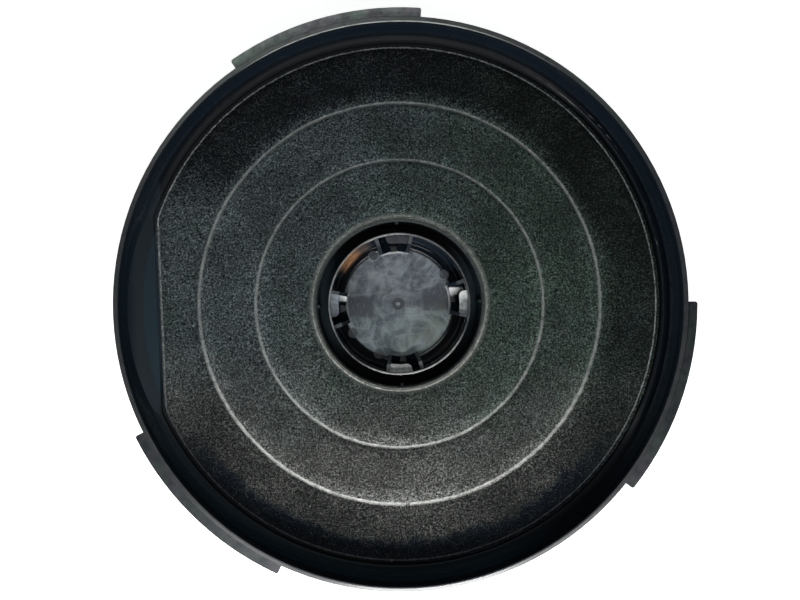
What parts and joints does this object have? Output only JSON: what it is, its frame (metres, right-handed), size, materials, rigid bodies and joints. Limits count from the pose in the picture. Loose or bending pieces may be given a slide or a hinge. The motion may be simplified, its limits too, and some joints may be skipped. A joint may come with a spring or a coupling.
{
  "type": "cooker hood carbon filter",
  "caption": "Round moulded carbon filter for a cooker hood: a shallow tray with a bayonet socket, rim lugs, a grille and a welded felt over carbon granules.",
  "frame": {"origin": "centre of the base, on the filter's axis, in the plane of the grille side", "axes": "+Z along the axis towards the open mouth, +X and +Y to the right and the top of the reference view, seen from the mouth"},
  "size_m": [0.2362, 0.2362, 0.034],
  "materials": {
    "tray": "satin black moulding",
    "cover_felt": "matt needled felt",
    "carbon": "granular",
    "base_felt": "matt needled felt"
  },
  "bodies": {
    "root": {"tray": "tray", "felt_cover": "cover_felt", "carbon_bed_inner": "carbon", "carbon_bed_middle": "carbon", "carbon_bed_outer": "carbon", "base_felt_inner": "base_felt", "base_felt_middle": "base_felt", "base_felt_outer": "base_felt"}
  },
  "joints": []
}
